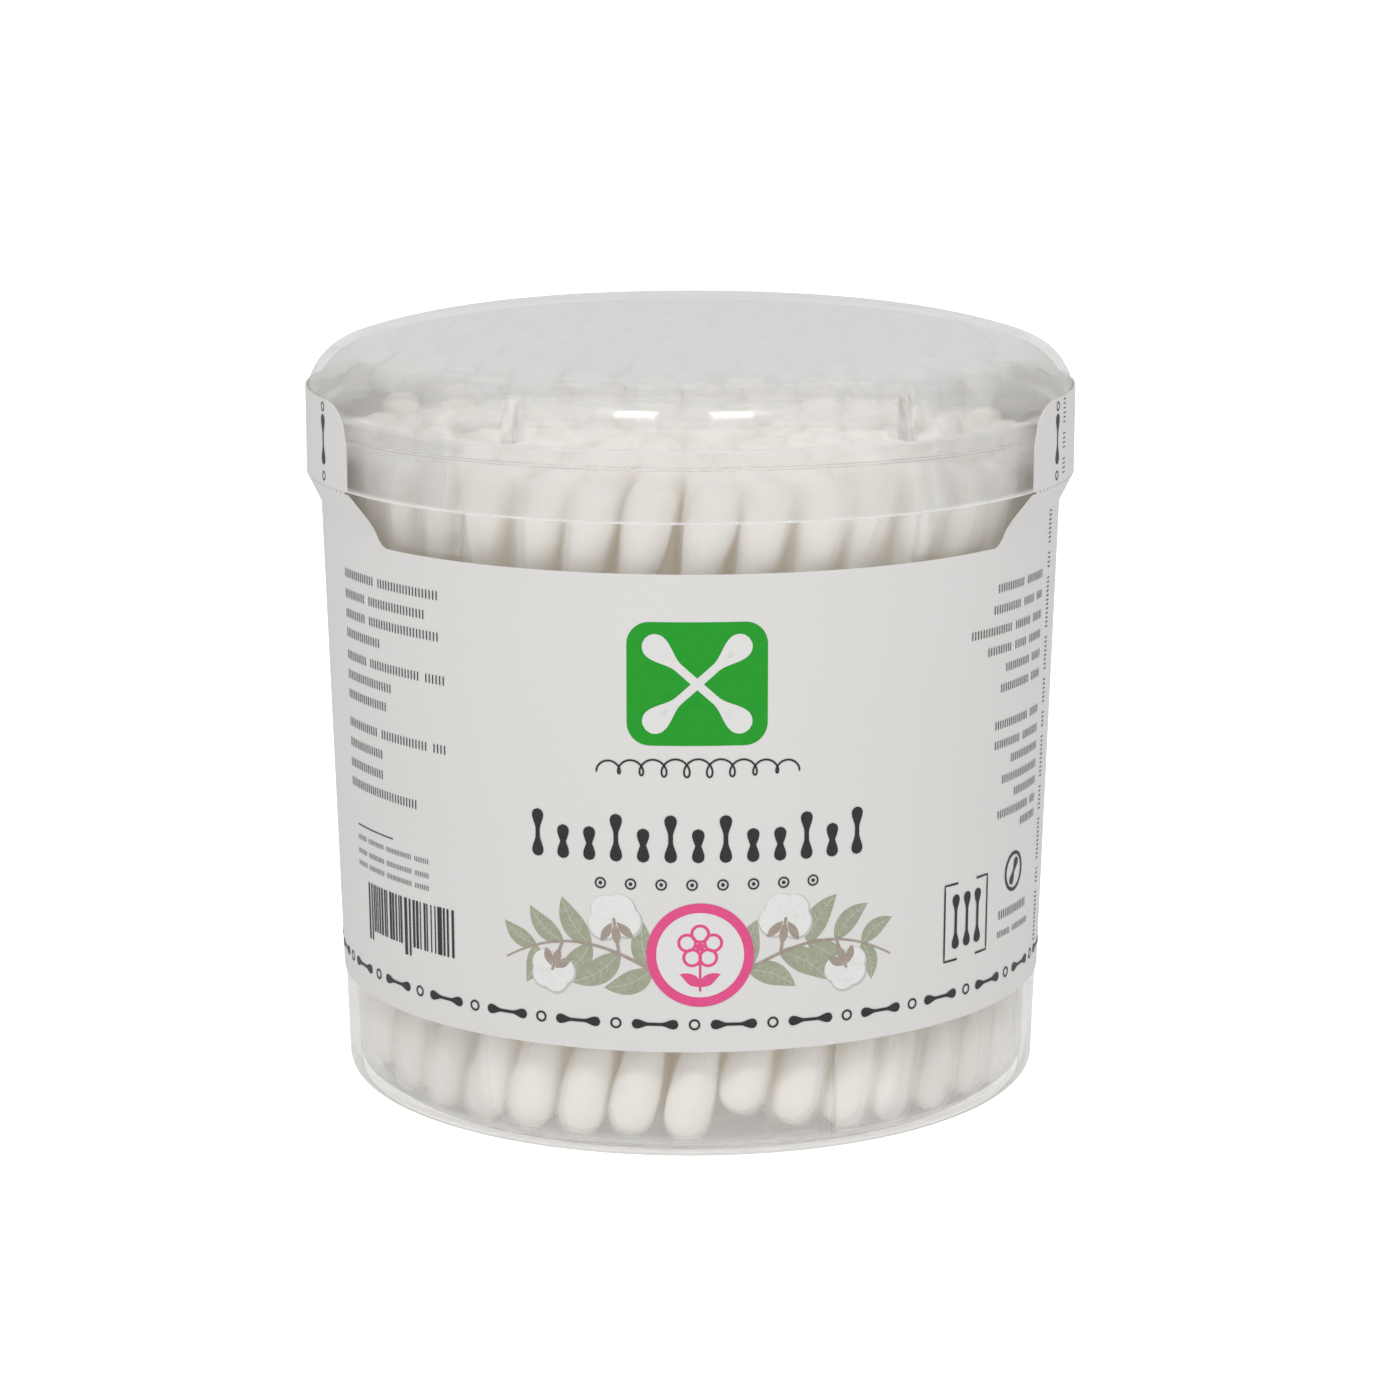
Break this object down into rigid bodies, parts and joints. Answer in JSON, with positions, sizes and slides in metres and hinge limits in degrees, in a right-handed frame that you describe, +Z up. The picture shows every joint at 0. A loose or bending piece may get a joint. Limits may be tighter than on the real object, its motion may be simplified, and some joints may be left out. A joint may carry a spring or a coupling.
{
  "type": "cotton swab tub",
  "caption": "Clear round plastic tub of cotton swabs standing upright, with a clear lift-off lid and a white wraparound label with two seal ears.",
  "frame": {"origin": "centre of the tub's base, on the plane that the foot ring stands on", "axes": "+Z up along the tub's axis, front (the label's main panel) faces -Y, +X to the viewer's right"},
  "size_m": [0.0864, 0.086, 0.0863],
  "materials": {
    "tub_plastic": "clear moulded plastic, gloss",
    "lid_plastic": "clear moulded plastic, gloss",
    "label_film": "white printed film, satin",
    "cotton": "wound cotton on white sticks, matte"
  },
  "bodies": {
    "tub": {"tub": "tub_plastic", "label": "label_film", "swab_01": "cotton", "swab_02": "cotton", "swab_03": "cotton", "swab_04": "cotton", "swab_05": "cotton", "swab_06": "cotton", "swab_07": "cotton", "swab_08": "cotton", "swab_09": "cotton", "swab_10": "cotton", "swab_11": "cotton", "swab_12": "cotton", "swab_13": "cotton", "swab_14": "cotton", "swab_15": "cotton", "swab_16": "cotton", "swab_17": "cotton", "swab_18": "cotton", "swab_19": "cotton", "swab_20": "cotton", "swab_21": "cotton", "swab_22": "cotton", "swab_23": "cotton", "swab_24": "cotton", "swab_25": "cotton", "swab_26": "cotton", "swab_27": "cotton", "swab_28": "cotton", "swab_29": "cotton", "swab_30": "cotton", "swab_31": "cotton", "swab_32": "cotton", "swab_33": "cotton", "swab_34": "cotton", "swab_35": "cotton", "swab_36": "cotton", "swab_37": "cotton", "swab_38": "cotton", "swab_39": "cotton", "swabs_ring_2": "cotton", "swabs_ring_3": "cotton", "swabs_ring_4": "cotton", "swabs_ring_5": "cotton", "swabs_ring_6": "cotton", "swabs_ring_7": "cotton", "swabs_ring_8": "cotton", "swabs_ring_9": "cotton"},
    "lid": {"lid": "lid_plastic", "seal_tab_left": "label_film", "seal_tab_right": "label_film"}
  },
  "joints": [
    {"name": "lid_lift", "type": "slide", "parent": "tub", "child": "lid", "axis": [0, 0, 1], "range_m": [0, 0.04]}
  ]
}
